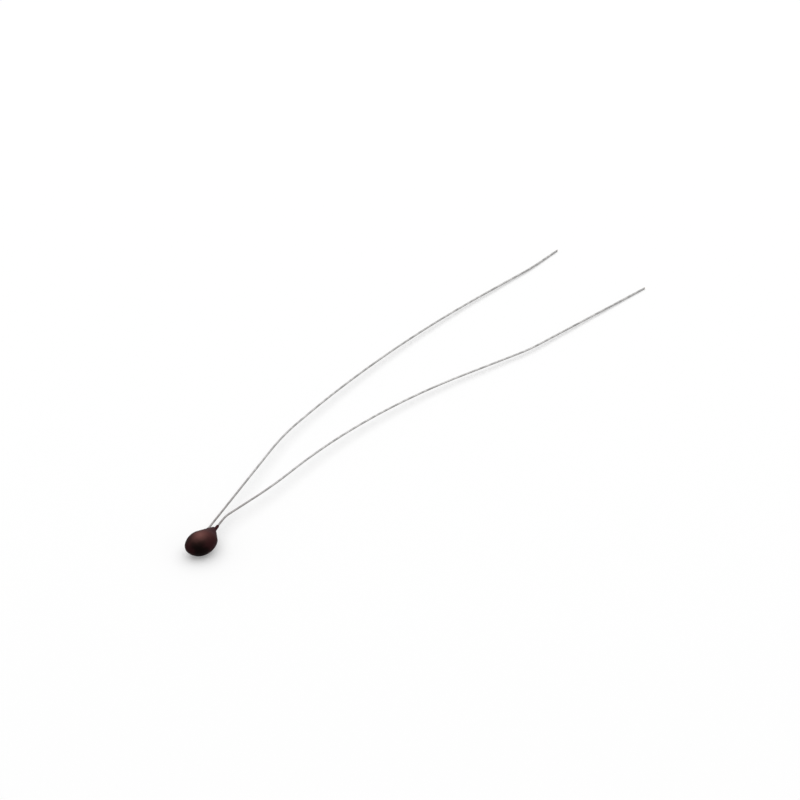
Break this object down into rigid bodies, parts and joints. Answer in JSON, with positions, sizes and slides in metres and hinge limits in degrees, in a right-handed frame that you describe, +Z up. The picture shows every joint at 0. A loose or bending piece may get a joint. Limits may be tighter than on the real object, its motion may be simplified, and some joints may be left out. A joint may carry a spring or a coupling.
{
  "type": "bead thermistor",
  "caption": "Small egg-shaped brown epoxy bead on two thin bare wire leads, a resistor that senses temperature.",
  "frame": {"origin": "point under the middle of the bead, where its belly touches the surface that it lies on", "axes": "+Z up from that surface, +X out from the bead between the two cut lead ends"},
  "size_m": [0.0641, 0.0127, 0.0024],
  "materials": {
    "epoxy": "satin dipped epoxy",
    "ceramic": "matt sintered oxide",
    "electrode_metal": "fired silver film",
    "solder": "satin solder",
    "lead_wire": "satin tinned wire"
  },
  "bodies": {
    "root": {"epoxy_coat": "epoxy", "ceramic_chip": "ceramic", "left_electrode": "electrode_metal", "right_electrode": "electrode_metal", "left_solder": "solder", "right_solder": "solder", "left_lead": "lead_wire", "right_lead": "lead_wire"}
  },
  "joints": []
}
